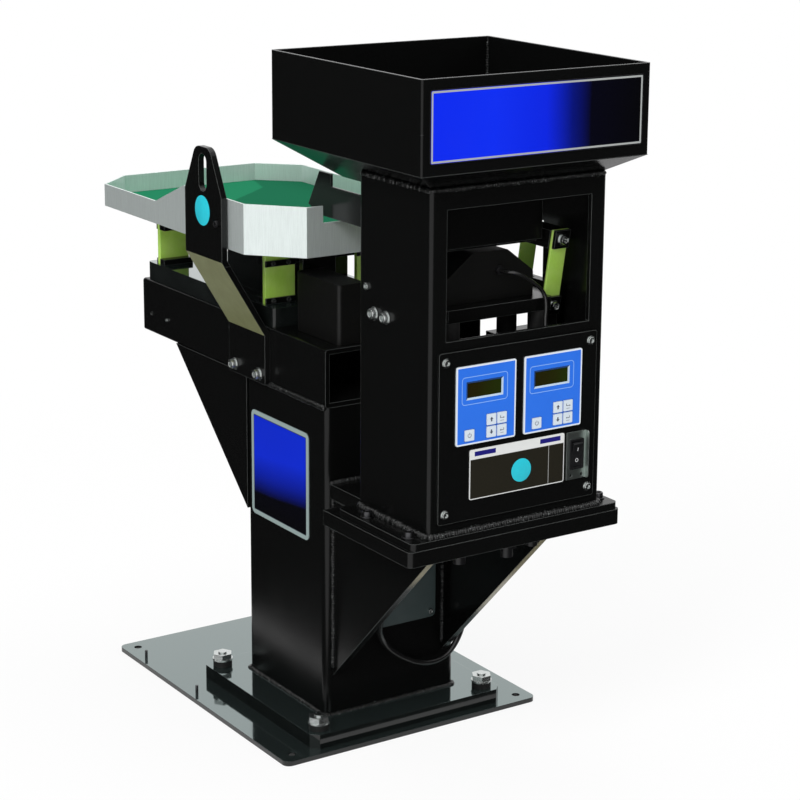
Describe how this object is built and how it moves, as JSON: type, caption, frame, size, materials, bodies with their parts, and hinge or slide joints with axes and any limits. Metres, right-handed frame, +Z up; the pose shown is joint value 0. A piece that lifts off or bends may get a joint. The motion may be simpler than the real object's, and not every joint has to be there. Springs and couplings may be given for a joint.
{
  "type": "flexible parts feeder",
  "caption": "Pedestal parts feeder: an open hopper over a vibrating trough spills parts onto a vibrating eight-sided tray with a green mat, run from a two-keypad control panel.",
  "frame": {"origin": "centre of the base plate's underside, on the floor plane", "axes": "+X runs to the right along the control panel, +Y from the control panel towards the table, +Z up"},
  "size_m": [0.394, 0.851, 0.899],
  "materials": {
    "black_powder_coat": "gloss",
    "mirror_black_plate": "gloss",
    "dark_pin": "satin",
    "zinc_hardware": "bright",
    "black_rubber": "matte",
    "satin_cover": "satin",
    "blue_emblem": "gloss",
    "coil_potting": "satin",
    "glass_fibre_spring": "satin",
    "keypad_blue": "satin",
    "key_white": "satin",
    "display_window": "gloss",
    "label_film": "satin",
    "black_moulding": "satin",
    "brushed_tray": "brushed",
    "green_mat": "satin",
    "cable_jacket": "satin"
  },
  "bodies": {
    "stand": {"base_plate": "mirror_black_plate", "locating_pins": "dark_pin", "foot_flange": "black_powder_coat", "anchor_bushes": "black_rubber", "anchor_nuts_and_washers": "zinc_hardware", "anchor_studs": "zinc_hardware", "column_tube": "black_powder_coat", "table_beam": "black_powder_coat", "rear_gussets": "black_powder_coat", "front_gussets": "black_powder_coat", "wiring_cover": "satin_cover", "emblem_plate": "blue_emblem", "head_plate": "black_powder_coat", "tower_shoe": "black_powder_coat", "tower_bolts": "zinc_hardware", "tower_shell": "black_powder_coat", "drive_shelf": "black_powder_coat", "shelf_bolts": "zinc_hardware", "rubber_mounts": "black_rubber", "hopper_drive_plinth": "black_powder_coat", "hopper_springs": "glass_fibre_spring", "hopper_lower_clamps": "black_powder_coat", "hopper_coil": "coil_potting", "hopper_bin": "black_powder_coat", "hopper_funnel": "black_powder_coat", "hopper_badge": "blue_emblem", "control_panel": "black_powder_coat", "panel_screws": "zinc_hardware", "controller_left": "keypad_blue", "controller_right": "keypad_blue", "displays": "display_window", "function_label": "label_film", "switch_guard": "zinc_hardware", "switch_housing": "black_moulding", "table_drive_base": "black_powder_coat", "table_coil": "coil_potting", "table_springs": "glass_fibre_spring", "table_lower_clamps": "black_powder_coat", "sensor_brackets": "black_powder_coat", "bracket_bolts": "zinc_hardware", "cable_glands": "black_moulding", "cables": "cable_jacket"},
    "table": {"table_frame": "black_powder_coat", "table_upper_clamps": "black_powder_coat", "tray": "brushed_tray", "tray_mat": "green_mat"},
    "feed_trough": {"trough_carrier": "black_powder_coat", "hopper_upper_clamps": "black_powder_coat", "trough": "black_powder_coat"},
    "rocker": {"power_rocker": "black_moulding"},
    "key_left_power": {"key_left_power": "key_white"},
    "key_left_up": {"key_left_up": "key_white"},
    "key_left_mode": {"key_left_mode": "key_white"},
    "key_left_down": {"key_left_down": "key_white"},
    "key_left_enter": {"key_left_enter": "key_white"},
    "key_right_power": {"key_right_power": "key_white"},
    "key_right_up": {"key_right_up": "key_white"},
    "key_right_mode": {"key_right_mode": "key_white"},
    "key_right_down": {"key_right_down": "key_white"},
    "key_right_enter": {"key_right_enter": "key_white"}
  },
  "joints": [
    {"name": "table_shake", "type": "slide", "parent": "stand", "child": "table", "axis": [0, 1, 0], "range_m": [-0.0015, 0.0015], "stiffness_N_per_m": 40000, "deforming": ["table_springs"]},
    {"name": "trough_shake", "type": "slide", "parent": "stand", "child": "feed_trough", "axis": [0, 1, 0], "range_m": [-0.0015, 0.0015], "stiffness_N_per_m": 20000, "deforming": ["hopper_springs"]},
    {"name": "power_switch", "type": "hinge", "parent": "stand", "child": "rocker", "pos_m": [0.0865, -0.45047, 0.425], "axis": [1, 0, 0], "range_deg": [-16, 0]},
    {"name": "key_left_power_press", "type": "slide", "parent": "stand", "child": "key_left_power", "axis": [0, 1, 0], "range_m": [0, 0.0005], "stiffness_N_per_m": 300},
    {"name": "key_left_up_press", "type": "slide", "parent": "stand", "child": "key_left_up", "axis": [0, 1, 0], "range_m": [0, 0.0005], "stiffness_N_per_m": 300},
    {"name": "key_left_mode_press", "type": "slide", "parent": "stand", "child": "key_left_mode", "axis": [0, 1, 0], "range_m": [0, 0.0005], "stiffness_N_per_m": 300},
    {"name": "key_left_down_press", "type": "slide", "parent": "stand", "child": "key_left_down", "axis": [0, 1, 0], "range_m": [0, 0.0005], "stiffness_N_per_m": 300},
    {"name": "key_left_enter_press", "type": "slide", "parent": "stand", "child": "key_left_enter", "axis": [0, 1, 0], "range_m": [0, 0.0005], "stiffness_N_per_m": 300},
    {"name": "key_right_power_press", "type": "slide", "parent": "stand", "child": "key_right_power", "axis": [0, 1, 0], "range_m": [0, 0.0005], "stiffness_N_per_m": 300},
    {"name": "key_right_up_press", "type": "slide", "parent": "stand", "child": "key_right_up", "axis": [0, 1, 0], "range_m": [0, 0.0005], "stiffness_N_per_m": 300},
    {"name": "key_right_mode_press", "type": "slide", "parent": "stand", "child": "key_right_mode", "axis": [0, 1, 0], "range_m": [0, 0.0005], "stiffness_N_per_m": 300},
    {"name": "key_right_down_press", "type": "slide", "parent": "stand", "child": "key_right_down", "axis": [0, 1, 0], "range_m": [0, 0.0005], "stiffness_N_per_m": 300},
    {"name": "key_right_enter_press", "type": "slide", "parent": "stand", "child": "key_right_enter", "axis": [0, 1, 0], "range_m": [0, 0.0005], "stiffness_N_per_m": 300}
  ]
}
